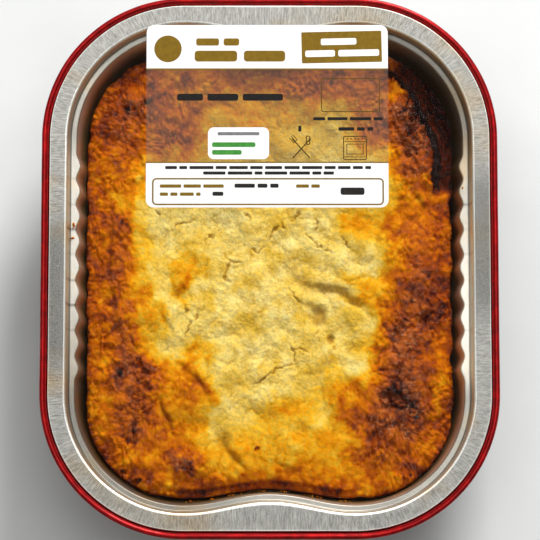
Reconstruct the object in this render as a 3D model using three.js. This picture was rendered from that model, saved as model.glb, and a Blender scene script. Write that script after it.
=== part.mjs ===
// A 300 g shepherd's pie in its own foil tray, under a clear sealing film with a label.
// Millimetres, +Z up. Origin: centre of the tray's underside. +Y runs along the tray's
// length, towards the end that carries the label.

import * as THREE from 'three';

// ---------- driving dimensions ----------

// The tray. The flange's outline is a rounded rectangle, and every other ring of the tray is
// named by its inset: its distance inwards from that outline.
const FLANGE_HALF_X = 59.0;
const FLANGE_HALF_Y = 71.0;
const CORNER_RADIUS = 36.3;
const FOIL = 0.3;
const FLANGE_Z = 36;

// The rim is rolled into a bead that lies in a narrow groove outside the flange.
const GROOVE_DEPTH = 0.65;
const GROOVE_DRAFT = 0.1;
const BEAD_RADIUS = 0.8;
const BEAD_REACH = 1.4;
const BEAD_DROP = 0.25;
const BEAD_STEPS = 6;

// The tray's section on its food side, from the flange down to the flat base.
const FLANGE_INSET = 4.4;
const FLANGE_EDGE_RADIUS = 0.6;
const LEDGE_Z = 32.7;
const LEDGE_START = 5.8;
const LEDGE_END = 6.95;
const WALL_TOP_Z = 32.2;
const WALL_TOP_INSET = 7.25;
const WALL_DRAFT = 0.19;
const BASE_CORNER_RADIUS = 5;
const BASE_CORNER_STEPS = 3;

// Each short side swells inwards in its middle, where a thumb holds the tray.
const THUMB_BULGE = 3.0;
const THUMB_BULGE_AT_BASE = 1.5;
const BULGE_STEPS = 8;

// Each long side is fluted from the ledge down: the flutes stand inwards from the plain wall.
const FLUTES = 9;
const FLUTE_PITCH = 6.87;
const FLUTE_DEPTH = 1.0;
const STEPS_PER_FLUTE = 4;
const CORNER_STEPS = 7;

// The pie. It has shrunk clear of the wall in the oven.
const PIE_CLEARANCE = 0.3;
const PIE_SIDE_GAP = PIE_CLEARANCE + FLUTE_DEPTH;
const PIE_EDGE_Z = 23.0;
const PIE_SHOULDER_WIDTH = 5.0;
const PIE_SHOULDER_STEPS = 4;
const PIE_TOP_Z = 27.0;
const PIE_TOP_RINGS = 9;
const PIE_SIDE_STEPS = 14;

// The film and the label that lies on it.
const SHEET = 0.2;
const SHEET_GAP = 0.1;
const FILM_INSET = 0.5;
const LABEL_WIDTH = 65;
const LABEL_LENGTH = 50;
const LABEL_CORNER = 2.1;
const LABEL_CENTRE_X = -0.65;
const LABEL_CENTRE_Y = 40.6;

const CENTRE_X = FLANGE_HALF_X - CORNER_RADIUS;
const CENTRE_Y = FLANGE_HALF_Y - CORNER_RADIUS;

// ---------- the outline and its stations ----------

// The stations run anticlockwise. Each has a point on the flange's outline, the outward normal
// there, and the shares from 0 to 1 of the thumb bulge and of the flutes' depth.
function stations(stepsOnLongSide) {
  const list = [];
  const add = (x, y, angle, bulge, flute) => {
    const normal = new THREE.Vector2(Math.cos(angle), Math.sin(angle));
    list.push({ point: new THREE.Vector2(x, y), normal, bulge, flute });
  };
  const longSide = (sign) => {
    for (let i = 0; i < stepsOnLongSide; i += 1) {
      const y = sign * CENTRE_Y * (2 * i / stepsOnLongSide - 1);
      add(sign * FLANGE_HALF_X, y, sign > 0 ? 0 : Math.PI, 0, fluteWave(y));
    }
  };
  const shortSide = (sign) => {
    for (let i = 0; i < BULGE_STEPS; i += 1) {
      const x = sign * CENTRE_X * (1 - 2 * i / BULGE_STEPS);
      const bulge = (1 + Math.cos(Math.PI * x / CENTRE_X)) / 2;
      add(x, sign * FLANGE_HALF_Y, sign * Math.PI / 2, bulge, 0);
    }
  };
  const corner = (signX, signY, startAngle) => {
    for (let i = 0; i < CORNER_STEPS; i += 1) {
      const angle = startAngle + (Math.PI / 2) * i / CORNER_STEPS;
      const x = signX * CENTRE_X + CORNER_RADIUS * Math.cos(angle);
      const y = signY * CENTRE_Y + CORNER_RADIUS * Math.sin(angle);
      add(x, y, angle, 0, 0);
    }
  };
  longSide(1);
  corner(1, 1, 0);
  shortSide(1);
  corner(-1, 1, Math.PI / 2);
  longSide(-1);
  corner(-1, -1, Math.PI);
  shortSide(-1);
  corner(1, -1, 3 * Math.PI / 2);
  return list;
}

function fluteWave(y) {
  if (Math.abs(y) > FLUTES * FLUTE_PITCH / 2) return 0;
  return (1 + Math.cos(2 * Math.PI * y / FLUTE_PITCH)) / 2;
}

// How strongly the bulge and the flutes show at an inset and a height.
function bulgeAt(inset, z) {
  if (inset < FLANGE_INSET) return THUMB_BULGE * Math.max(inset, 0) / FLANGE_INSET;
  const depth = Math.min(Math.max((LEDGE_Z - z) / LEDGE_Z, 0), 1);
  return THREE.MathUtils.lerp(THUMB_BULGE, THUMB_BULGE_AT_BASE, depth);
}

function fluteAt(inset, z) {
  if (inset < LEDGE_START) return 0;
  const onLedge = Math.min((inset - LEDGE_START) / (LEDGE_END - LEDGE_START), 1);
  const nearBase = Math.min(z / LEDGE_Z, 1);
  return FLUTE_DEPTH * onLedge * nearBase;
}

// One ring of points at an inset and a height.
function ring(stationList, inset, z, followsFlutes = true) {
  return stationList.map(({ point, normal, bulge, flute }) => {
    const waves = followsFlutes ? flute * fluteAt(inset, z) : 0;
    const reach = inset + bulge * bulgeAt(inset, z) + waves;
    return new THREE.Vector3(point.x - normal.x * reach, point.y - normal.y * reach, z);
  });
}

// ---------- a closed body from a stack of rings ----------

// The rings have the same number of points. They run outwards from a pole on the body's upper
// side, over its edge, and in again to a pole on its underside.
function skin(upperPole, rings, lowerPole) {
  const count = rings[0].length;
  const positions = [upperPole, ...rings.flat(), lowerPole].flatMap((p) => [p.x, p.y, p.z]);
  const at = (r, i) => 1 + r * count + (i % count);
  const last = 1 + rings.length * count;
  const faces = [];
  for (let i = 0; i < count; i += 1) {
    faces.push(0, at(0, i), at(0, i + 1));
    for (let r = 0; r + 1 < rings.length; r += 1) {
      faces.push(at(r, i), at(r + 1, i), at(r + 1, i + 1));
      faces.push(at(r, i), at(r + 1, i + 1), at(r, i + 1));
    }
    faces.push(at(rings.length - 1, i), last, at(rings.length - 1, i + 1));
  }
  const geometry = new THREE.BufferGeometry();
  geometry.setAttribute('position', new THREE.Float32BufferAttribute(positions, 3));
  geometry.setIndex(faces);
  geometry.computeVertexNormals();
  return geometry;
}

// ---------- the tray ----------

// The wall's inset on the food side at a height, above the base's rounded corner.
function wallInset(z) {
  return WALL_TOP_INSET + (WALL_TOP_Z - z) * WALL_DRAFT;
}

// The section's points are [inset, height]. This is the food side, from the base outwards.
function foodSide() {
  const lowWallZ = FOIL + BASE_CORNER_RADIUS;
  const profile = [];
  for (let i = 0; i <= BASE_CORNER_STEPS; i += 1) {
    const angle = (Math.PI / 2) * (1 - i / BASE_CORNER_STEPS);
    const inset = wallInset(lowWallZ) + BASE_CORNER_RADIUS * (1 - Math.cos(angle));
    profile.push([inset, lowWallZ - BASE_CORNER_RADIUS * Math.sin(angle)]);
  }
  profile.push([WALL_TOP_INSET, WALL_TOP_Z]);
  profile.push([LEDGE_END, LEDGE_Z]);
  profile.push([LEDGE_START, LEDGE_Z]);
  profile.push([FLANGE_INSET + FLANGE_EDGE_RADIUS, FLANGE_Z - FLANGE_EDGE_RADIUS]);
  profile.push([FLANGE_INSET, FLANGE_Z]);
  return profile;
}

// The outside is the food side moved out by the foil's thickness.
function outside() {
  const profile = foodSide();
  const moved = profile.map(([inset, z], i) => {
    const [insetA, zA] = profile[Math.max(i - 1, 0)];
    const [insetB, zB] = profile[Math.min(i + 1, profile.length - 1)];
    const along = new THREE.Vector2(insetB - insetA, zB - zA).normalize();
    if (i === 0 || i === profile.length - 1) along.set(-1, 0);
    return [inset + along.y * -FOIL, z + along.x * FOIL];
  });
  return moved.reverse();
}

// The rim: from the flange's outline down into the groove, round the bead, and back under.
function rim() {
  const grooveZ = FLANGE_Z - GROOVE_DEPTH;
  const centreZ = FLANGE_Z - BEAD_DROP;
  const start = Math.asin((grooveZ - centreZ) / BEAD_RADIUS);
  const end = 3 * Math.PI / 2;
  const profile = [[0, FLANGE_Z], [-GROOVE_DRAFT, grooveZ]];
  for (let i = 0; i <= BEAD_STEPS; i += 1) {
    const angle = start + (end - start) * i / BEAD_STEPS;
    const inset = -BEAD_REACH + BEAD_RADIUS * Math.cos(angle);
    profile.push([inset, centreZ + BEAD_RADIUS * Math.sin(angle)]);
  }
  profile.push([FOIL - GROOVE_DRAFT, grooveZ - FOIL]);
  profile.push([FOIL, FLANGE_Z - FOIL]);
  return profile;
}

function trayGeometry() {
  const around = stations(FLUTES * STEPS_PER_FLUTE);
  const profile = [...foodSide(), ...rim(), ...outside()];
  const rings = profile.map(([inset, z]) => ring(around, inset, z));
  return skin(new THREE.Vector3(0, 0, FOIL), rings, new THREE.Vector3(0, 0, 0));
}

// ---------- the pie ----------

// Height of the mashed top: a raised rim band and soft lumps. edge is the distance from the
// pie's own edge.
function mashHeight(x, y, edge) {
  const band = 1.3 * Math.exp(-(((edge - 9) / 6) ** 2));
  const lumps = 0.5 * Math.sin(x / 6.5 + 0.8 * Math.sin(y / 9)) * Math.cos(y / 7.5 + 1.1)
    + 0.35 * Math.sin((x + y) / 4.6) * Math.sin((x - y) / 6.1 + 0.6);
  return PIE_TOP_Z + band + lumps;
}

function pieGeometry() {
  const around = stations(PIE_SIDE_STEPS);
  const bottom = FOIL + PIE_CLEARANCE;
  const lowWallZ = FOIL + BASE_CORNER_RADIUS;
  const edgeInset = wallInset(PIE_EDGE_Z) + PIE_SIDE_GAP;
  const outline = ring(around, edgeInset, PIE_EDGE_Z, false);

  // The shoulder rounds over from the pie's edge into the mashed top.
  const shoulder = [];
  for (let i = PIE_SHOULDER_STEPS; i > 0; i -= 1) {
    const angle = (Math.PI / 2) * i / PIE_SHOULDER_STEPS;
    const edge = PIE_SHOULDER_WIDTH * (1 - Math.cos(angle));
    const flat = ring(around, edgeInset + edge, PIE_EDGE_Z, false);
    shoulder.push(flat.map((p) => {
      const top = mashHeight(p.x, p.y, edge);
      return p.setZ(PIE_EDGE_Z + (top - PIE_EDGE_Z) * Math.sin(angle));
    }));
  }

  // The mashed top, from its middle out to the shoulder.
  const top = [];
  for (let i = 1; i < PIE_TOP_RINGS; i += 1) {
    const share = i / PIE_TOP_RINGS;
    top.push(shoulder[0].map((p, k) => {
      const x = p.x * share;
      const y = p.y * share;
      const edge = Math.hypot(outline[k].x - x, outline[k].y - y);
      return new THREE.Vector3(x, y, mashHeight(x, y, edge));
    }));
  }

  // The side down to the rounded corner of the underside.
  const side = [outline];
  for (let i = 0; i <= BASE_CORNER_STEPS; i += 1) {
    const angle = (Math.PI / 2) * i / BASE_CORNER_STEPS;
    const inset = wallInset(lowWallZ) + PIE_SIDE_GAP + BASE_CORNER_RADIUS * (1 - Math.cos(angle));
    side.push(ring(around, inset, bottom + BASE_CORNER_RADIUS * (1 - Math.sin(angle)), false));
  }

  const middle = new THREE.Vector3(0, 0, mashHeight(0, 0, FLANGE_HALF_X));
  return skin(middle, [...top, ...shoulder, ...side], new THREE.Vector3(0, 0, bottom));
}

// ---------- the film and the label ----------

// A flat sheet with rounded corners whose underside lies at z = 0.
function sheetGeometry(halfX, halfY, radius) {
  const innerX = halfX - radius;
  const innerY = halfY - radius;
  const outline = new THREE.Shape();
  outline.absarc(innerX, innerY, radius, 0, Math.PI / 2);
  outline.absarc(-innerX, innerY, radius, Math.PI / 2, Math.PI);
  outline.absarc(-innerX, -innerY, radius, Math.PI, 3 * Math.PI / 2);
  outline.absarc(innerX, -innerY, radius, 3 * Math.PI / 2, 2 * Math.PI);
  return new THREE.ExtrudeGeometry(outline, { depth: SHEET, bevelEnabled: false, curveSegments: 8 });
}

// ---------- the pieces ----------

function piece(name, geometry, material) {
  const mesh = new THREE.Mesh(geometry, new THREE.MeshStandardMaterial(material));
  mesh.name = name;
  return mesh;
}

const tray = piece('tray', trayGeometry(), { color: 0xb9b9b2, roughness: 0.35, metalness: 1 });

const pie = piece('pie', pieGeometry(), { color: 0xb5762a, roughness: 0.75, metalness: 0 });

const film = piece(
  'film',
  sheetGeometry(FLANGE_HALF_X - FILM_INSET, FLANGE_HALF_Y - FILM_INSET, CORNER_RADIUS - FILM_INSET),
  { color: 0xffffff, roughness: 0.1, metalness: 0, transparent: true, opacity: 0.1 },
);
film.position.z = FLANGE_Z + SHEET_GAP;

const label = piece(
  'label',
  sheetGeometry(LABEL_WIDTH / 2, LABEL_LENGTH / 2, LABEL_CORNER),
  { color: 0xf7f7f4, roughness: 0.4, metalness: 0 },
);
label.position.set(LABEL_CENTRE_X, LABEL_CENTRE_Y, film.position.z + SHEET + SHEET_GAP);

const group = new THREE.Group();
group.add(tray, pie, film, label);
export default group;
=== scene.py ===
"""A ready-made shepherd's pie in its foil tray, under clear film with a label.

Lengths are millimetres in the shape code, and mesh_object() turns them into metres.
"""
import math

import bpy
import numpy as np
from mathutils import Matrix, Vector


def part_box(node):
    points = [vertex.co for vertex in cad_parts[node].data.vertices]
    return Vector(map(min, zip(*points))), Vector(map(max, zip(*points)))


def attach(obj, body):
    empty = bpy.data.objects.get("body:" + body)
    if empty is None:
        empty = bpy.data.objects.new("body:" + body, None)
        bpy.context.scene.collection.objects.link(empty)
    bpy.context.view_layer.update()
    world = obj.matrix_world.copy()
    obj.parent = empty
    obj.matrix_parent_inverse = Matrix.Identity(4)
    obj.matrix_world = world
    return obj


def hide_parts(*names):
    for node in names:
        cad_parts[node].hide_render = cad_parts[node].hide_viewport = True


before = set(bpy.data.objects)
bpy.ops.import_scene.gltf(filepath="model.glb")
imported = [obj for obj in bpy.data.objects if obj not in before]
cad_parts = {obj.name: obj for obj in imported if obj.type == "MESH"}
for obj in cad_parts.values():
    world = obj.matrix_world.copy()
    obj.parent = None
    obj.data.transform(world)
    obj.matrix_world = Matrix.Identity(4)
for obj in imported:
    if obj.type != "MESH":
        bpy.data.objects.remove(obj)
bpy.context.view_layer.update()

MM = 0.001


def box_mm(node):
    low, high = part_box(node)
    return np.array(low) / MM, np.array(high) / MM


# ---------- sizes from the frame ----------

TRAY_HIGH = box_mm("tray")[1]
PIE_LOW = box_mm("pie")[0]
FILM_LOW = box_mm("film")[0]
LABEL_LOW, LABEL_HIGH = box_mm("label")

# The tray. Every ring of it is named by its inset from the flange's outline.
RIM_WIDTH = 2.2
FLANGE_HALF_X = TRAY_HIGH[0] - RIM_WIDTH
FLANGE_HALF_Y = TRAY_HIGH[1] - RIM_WIDTH
FLANGE_Z = FILM_LOW[2] - 0.1
CORNER_RADIUS = 36.3
CENTRE_X = FLANGE_HALF_X - CORNER_RADIUS
CENTRE_Y = FLANGE_HALF_Y - CORNER_RADIUS
FOIL = 0.3
FLANGE_INSET = 4.4
LEDGE_Z = FLANGE_Z - 3.3
LEDGE_START = 5.5
LEDGE_END = 6.95
WALL_TOP_Z = LEDGE_Z - 0.5
WALL_TOP_INSET = 7.25
WALL_DRAFT = 0.19
BASE_CORNER = 5.0
GROOVE_DEPTH = 0.95
BEAD_RADIUS = 0.77
BEAD_REACH = 1.4
BEAD_DROP = 0.25
THUMB_BULGE = 3.0
THUMB_BULGE_AT_BASE = 1.5
FLUTES = 9
FLUTE_PITCH = 6.87
FLUTE_DEPTH = 1.0
WALL_UNEVENNESS = 0.16
FLANGE_UNEVENNESS = 0.03
RIM_DENTS = 0.05

# The pie.
PIE_EDGE_Z = 24.0
PIE_TOP_Z = 27.0
PIE_HIGHEST_Z = 29.5
PIE_FLATTENED = 1.2
PIE_SIDE_GAP = 0.8
PIE_GRID_HALF = 175
SHOULDER_WIDTH = 4.5
SHOULDER_POWER = 2.4

# The film's top and bottom, and its seal's distance from the flange's outline.
FILM_TOP_Z = FLANGE_Z + 0.09
FILM_LOW_Z = FLANGE_Z + 0.04
FILM_INSET = 0.5

# The label.
LABEL_RADIUS = 2.1
WINDOW_BACK = LABEL_HIGH[1] - 12.3
WINDOW_FRONT = LABEL_LOW[1] + 12.4
PANEL_X = -8.35
PANEL_Y = 33.1
SHORTEST_WORD = 0.6
INK = 0.03
SHEET_Z = FLANGE_Z + 0.24
SHEET_TOP_Z = SHEET_Z + 0.08
INK_Z = SHEET_TOP_Z + INK
TOP_INK_Z = INK_Z + INK

rng = np.random.default_rng(7)


# ---------- small tools ----------

def srgb(red, green, blue, alpha=1.0):
    """A screen colour of 0 to 255 as the linear colour that a shader takes."""
    def linear(value):
        value /= 255
        return value / 12.92 if value <= 0.04045 else ((value + 0.055) / 1.055) ** 2.4
    return (linear(red), linear(green), linear(blue), alpha)


def smoothstep(low, high, value):
    t = np.clip((value - low) / (high - low), 0, 1)
    return t * t * (3 - 2 * t)


def lattice_noise(x, y, seed):
    """Smooth noise of about -1 to 1 with one hill or dip for each unit of x and y."""
    table = np.random.default_rng(seed)
    order = table.permutation(256)
    angle = table.uniform(0, 2 * math.pi, 256)
    x0, y0 = np.floor(x).astype(int), np.floor(y).astype(int)
    fx, fy = x - x0, y - y0

    def corner(dx, dy):
        pick = order[(order[(x0 + dx) & 255] + y0 + dy) & 255]
        return np.cos(angle[pick]) * (fx - dx) + np.sin(angle[pick]) * (fy - dy)

    u = fx ** 3 * (fx * (fx * 6 - 15) + 10)
    v = fy ** 3 * (fy * (fy * 6 - 15) + 10)
    low = corner(0, 0) * (1 - u) + corner(1, 0) * u
    high = corner(0, 1) * (1 - u) + corner(1, 1) * u
    return 1.5 * (low * (1 - v) + high * v)


def layered_noise(x, y, size, layers, seed, gain=0.5):
    """lattice_noise at a size in millimetres, with finer layers on top, each turned."""
    total = np.zeros_like(x)
    strength = 1.0
    for layer in range(layers):
        c, s = math.cos(0.5 + 1.1 * layer), math.sin(0.5 + 1.1 * layer)
        u, v = (c * x + s * y) / size, (c * y - s * x) / size
        total += strength * lattice_noise(u + 17.3 * layer, v - 9.1 * layer, seed + layer)
        size /= 2.07
        strength *= gain
    return total


def warped(x, y, amount, size, layers, seed, gain=0.5):
    """The points moved about by layered_noise, so that what is laid on them isn't regular."""
    return (x + amount * layered_noise(x, y, size, layers, seed, gain),
            y + amount * layered_noise(x, y, size, layers, seed + 4, gain))


def oval(x, y, px, py, half_x, half_y, turn=0):
    """Where the points lie in a turned oval: 0, 0 at its middle, and 1 away at its edge."""
    c, s = math.cos(math.radians(turn)), math.sin(math.radians(turn))
    return ((x - px) * c + (y - py) * s) / half_x, ((y - py) * c - (x - px) * s) / half_y


def cells(x, y, size, seed):
    """Distances in millimetres to the nearest and second nearest of points scattered size
    apart, and a number from 0 to 1 that belongs to the nearest."""
    table = np.random.default_rng(seed)
    order = table.permutation(256)
    jitter = table.uniform(0.0, 1.0, (256, 3))
    gx, gy = x / size, y / size
    x0, y0 = np.floor(gx).astype(int), np.floor(gy).astype(int)
    first = np.full(x.shape, 9.0)
    second = np.full(x.shape, 9.0)
    own = np.zeros(x.shape)
    for dx in (-1, 0, 1):
        for dy in (-1, 0, 1):
            pick = order[(order[(x0 + dx) & 255] + y0 + dy) & 255]
            distance = np.hypot(x0 + dx + jitter[pick, 0] - gx, y0 + dy + jitter[pick, 1] - gy)
            second = np.minimum(second, np.maximum(first, distance))
            own = np.where(distance < first, jitter[pick, 2], own)
            first = np.minimum(first, distance)
    return first * size, second * size, own


def mesh_object(name, points, faces, body="root", smooth=True):
    """A mesh from points in millimetres, riding on a body."""
    mesh = bpy.data.meshes.new(name)
    mesh.from_pydata((np.asarray(points) * MM).tolist(), [], faces)
    mesh.validate()
    mesh.polygons.foreach_set("use_smooth", np.full(len(mesh.polygons), smooth))
    mesh.update()
    made = bpy.data.objects.new(name, mesh)
    bpy.context.scene.collection.objects.link(made)
    if body:
        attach(made, body)
    return made


def set_attribute(made, name, values):
    attribute = made.data.attributes.new(name, "FLOAT", "POINT")
    attribute.data.foreach_set("value", np.asarray(values, np.float32))


class Material:
    """A material with one Principled shader. A method adds a node and returns its output, and
    m["Roughness"] = value sets the shader's socket to a value or links it."""

    def __init__(self, name):
        self.material = bpy.data.materials.new(name)
        self.material.use_nodes = True
        self.tree = self.material.node_tree
        self.tree.nodes.clear()
        self.shader = self.tree.nodes.new("ShaderNodeBsdfPrincipled")
        output = self.tree.nodes.new("ShaderNodeOutputMaterial")
        self.tree.links.new(self.shader.outputs[0], output.inputs["Surface"])

    def put(self, socket, value):
        if isinstance(value, bpy.types.NodeSocket):
            self.tree.links.new(value, socket)
        else:
            socket.default_value = value

    def __setitem__(self, name, value):
        self.put(self.shader.inputs[name], value)

    def add(self, kind, values, output=0, **settings):
        made = self.tree.nodes.new("ShaderNode" + kind)
        for key, value in settings.items():
            setattr(made, key, value)
        for key, value in values.items():
            self.put(made.inputs[key], value)
        return made.outputs[output]

    def value(self, name):
        """A vertex attribute's value."""
        return self.add("Attribute", {}, "Fac", attribute_name=name)

    def place(self):
        """Where the point is, in the object's own metres."""
        return self.add("TexCoord", {}, "Object")

    def noise(self, vector, scale, detail, roughness):
        return self.add("TexNoise", {
            "Vector": vector, "Scale": scale, "Detail": detail, "Roughness": roughness,
        })

    def ramp(self, factor, stops):
        """A colour ramp of (place, colour) stops."""
        colour = self.add("ValToRGB", {"Fac": factor}, "Color")
        elements = colour.node.color_ramp.elements
        while len(elements) < len(stops):
            elements.new(0.5)
        for element, (place, stop) in zip(elements, stops):
            element.position = place
            element.color = stop
        return colour

    def math(self, operation, *values):
        return self.add("Math", dict(enumerate(values)), operation=operation)

    def times(self, first, second):
        return self.math("MULTIPLY", first, second)

    def less(self, first, second):
        return self.math("SUBTRACT", first, second)

    def scaled_sum(self, value, scale, base):
        """value * scale + base"""
        return self.math("MULTIPLY_ADD", value, scale, base)

    def swing(self, noise, amount, base):
        """A noise's swing to both sides of 0.5, by an amount, on a base."""
        return self.scaled_sum(self.less(noise, 0.5), amount, base)

    def spread(self, value, low, high, at_low=0.0, at_high=1.0):
        """The value's range from low to high, spread from at_low to at_high and held there."""
        return self.add("MapRange", {"Value": value, 1: low, 2: high, 3: at_low, 4: at_high})

    def blend(self, share, first, second):
        return self.add("Mix", {0: share, 2: first, 3: second}, data_type="FLOAT")

    def blend_colour(self, share, first, second):
        return self.add("Mix", {0: share, 6: first, 7: second}, 2, data_type="RGBA")

    def shade(self, colour, factor):
        return self.add("VectorMath", {0: colour, 1: factor}, operation="MULTIPLY")

    def bump(self, height, strength, distance):
        return self.add("Bump", {"Height": height, "Strength": strength, "Distance": distance})


# ---------- camera ----------

CAMERA_DISTANCE = 0.9
CAMERA_TILT = math.radians(9.07)
CAMERA_TARGET = Vector((0.0001, -0.0013, FLANGE_Z * MM))
VIEW_WIDTH = 0.14409

camera_data = bpy.data.cameras.new("camera")
camera_data.sensor_width = 36
camera_data.lens = 36 * CAMERA_DISTANCE / VIEW_WIDTH
camera = bpy.data.objects.new("camera", camera_data)
bpy.context.scene.collection.objects.link(camera)
towards = Vector((0, -math.sin(CAMERA_TILT), math.cos(CAMERA_TILT)))
camera.location = CAMERA_TARGET + towards * CAMERA_DISTANCE
camera.rotation_euler = (CAMERA_TILT, 0, 0)
bpy.context.scene.camera = camera


# ---------- the tray's outline ----------

def stations(long_steps=160, corner_steps=60, short_steps=70):
    """Points anticlockwise round the flange's outline: place, outward normal, and the shares
    from 0 to 1 of the thumb bulge and of the flutes' depth."""
    rows = []
    for sign_x, sign_y, start in ((1, 1, 0), (-1, 1, 90), (-1, -1, 180), (1, -1, 270)):
        for i in range(corner_steps):
            angle = math.radians(start + 90 * i / corner_steps)
            x = sign_x * CENTRE_X + CORNER_RADIUS * math.cos(angle)
            y = sign_y * CENTRE_Y + CORNER_RADIUS * math.sin(angle)
            rows.append((x, y, math.cos(angle), math.sin(angle), 0, 0))
        if sign_x == sign_y:
            for i in range(short_steps):
                x = sign_x * CENTRE_X * (1 - 2 * i / short_steps)
                bulge = (1 + math.cos(math.pi * x / CENTRE_X)) / 2
                rows.append((x, sign_y * FLANGE_HALF_Y, 0, sign_y, bulge, 0))
        else:
            for i in range(long_steps):
                y = sign_y * CENTRE_Y * (1 - 2 * i / long_steps)
                wave = 0
                if abs(y) < FLUTES * FLUTE_PITCH / 2:
                    wave = (1 + math.cos(2 * math.pi * y / FLUTE_PITCH)) / 2
                rows.append((sign_x * FLANGE_HALF_X, y, sign_x, 0, 0, wave))
    return np.array(rows).T


def bulge_at(inset, z):
    if inset < FLANGE_INSET:
        return THUMB_BULGE * max(inset, 0) / FLANGE_INSET
    depth = min(max((LEDGE_Z - z) / LEDGE_Z, 0), 1)
    return THUMB_BULGE + (THUMB_BULGE_AT_BASE - THUMB_BULGE) * depth


def flute_at(inset, z):
    if inset < LEDGE_START:
        return 0
    on_ledge = min((inset - LEDGE_START) / (LEDGE_END - LEDGE_START), 1)
    return FLUTE_DEPTH * on_ledge * min(z / LEDGE_Z, 1)


def ring(around, inset, z, flutes=1.0):
    x, y, nx, ny, bulge, flute = around
    reach = inset + bulge * bulge_at(inset, z) + flutes * flute * flute_at(inset, z)
    return np.stack([x - nx * reach, y - ny * reach, np.full_like(x, z)], 1)


def wall_inset(z):
    return WALL_TOP_INSET + (WALL_TOP_Z - z) * WALL_DRAFT


def tube_faces(ring_count, count, first=0):
    """Quads between rings of the same count, and the fans to a pole before and after them."""
    faces = []
    for i in range(count):
        j = (i + 1) % count
        faces.append((first, first + 1 + i, first + 1 + j))
        for r in range(ring_count - 1):
            a = first + 1 + r * count
            faces.append((a + i, a + count + i, a + count + j, a + j))
        a = first + 1 + (ring_count - 1) * count
        faces.append((a + i, a + count, a + j))
    return faces


# ---------- the tray ----------

def softened(corners, steps=4):
    """The (inset, height, radius) corners of a section, with each corner rounded off."""
    spots = np.array([c[:2] for c in corners], float)
    points = []
    for i, (inset, z, radius) in enumerate(corners):
        if i == 0 or i == len(corners) - 1 or radius == 0:
            points.append((inset, z))
            continue
        here = spots[i]
        ends = []
        for arm in (spots[i - 1] - here, spots[i + 1] - here):
            length = np.linalg.norm(arm)
            ends.append(here + arm / length * min(radius, length / 2))
        for t in np.linspace(0, 1, steps + 1):
            points.append(tuple((1 - t) ** 2 * ends[0] + 2 * t * (1 - t) * here + t * t * ends[1]))
    return points


def divided(points, longest):
    """The same line with steps no longer than a length."""
    out = [points[0]]
    for start, end in zip(points, points[1:]):
        parts = max(1, math.ceil(math.dist(start, end) / longest))
        whole = np.array(end) - start
        out += [tuple(np.array(start) + whole * k / parts) for k in range(1, parts + 1)]
    return out


def tray_sections():
    """The food side from the base outwards, the rolled rim, and the outside back to the base."""
    low_wall = FOIL + BASE_CORNER
    low_inset = wall_inset(low_wall)
    base_corner = [
        (low_inset + BASE_CORNER * (1 - math.cos(a)), low_wall - BASE_CORNER * math.sin(a), 0)
        for a in np.linspace(math.pi / 2, 0, 9)
    ]
    flange_end = (0.25, FLANGE_Z, 0)
    food_side = divided(softened(base_corner + [
        (WALL_TOP_INSET, WALL_TOP_Z, 0.5),
        (LEDGE_END, LEDGE_Z, 0.25),
        (LEDGE_START, LEDGE_Z, 0.35),
        (FLANGE_INSET + 0.5, FLANGE_Z - 0.5, 0.3),
        (FLANGE_INSET, FLANGE_Z, 0.6),
        flange_end,
    ]), 1.6)
    groove_z = FLANGE_Z - GROOVE_DEPTH
    bead_z = FLANGE_Z - BEAD_DROP
    silver_rim = softened([flange_end, (0.0, FLANGE_Z + 0.02, 0.12), (-0.1, groove_z, 0)])[1:]
    start = math.asin((groove_z - bead_z) / BEAD_RADIUS)
    bead = [
        (-BEAD_REACH + BEAD_RADIUS * math.cos(a), bead_z + BEAD_RADIUS * math.sin(a))
        for a in np.linspace(start, 1.5 * math.pi, 22)
    ]
    bead += [(FOIL - 0.1, groove_z - FOIL), (FOIL, FLANGE_Z - FOIL)]
    outside = []
    for i, (inset, z) in enumerate(food_side):
        before, after = food_side[max(i - 1, 0)], food_side[min(i + 1, len(food_side) - 1)]
        along = np.array(after) - before if i else np.array([-1.0, 0.0])
        along /= np.linalg.norm(along)
        outside.append((inset - along[1] * FOIL, z + along[0] * FOIL))
    outside = [p for p in outside if p[0] > FOIL + 0.2]
    return food_side, silver_rim, bead + outside[::-1]


def tray_ring(around, inset, z):
    """One ring of the tray. The foil is a little uneven: the walls most, the flange hardly."""
    points = ring(around, inset, z)
    wave = layered_noise(points[:, 0] * 0.9 + z, points[:, 1] + 0.7 * z, 11, 2, 41)
    on_wall = FLANGE_INSET < inset and 1 < z < WALL_TOP_Z - 1
    amount = WALL_UNEVENNESS if on_wall else FLANGE_UNEVENNESS
    points[:, 0] -= around[2] * wave * amount
    points[:, 1] -= around[3] * wave * amount
    if inset < 0:
        dents = layered_noise(points[:, 0], points[:, 1], 9, 3, 57)
        points[:, 2] += RIM_DENTS * dents - RIM_DENTS
    return points


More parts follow.
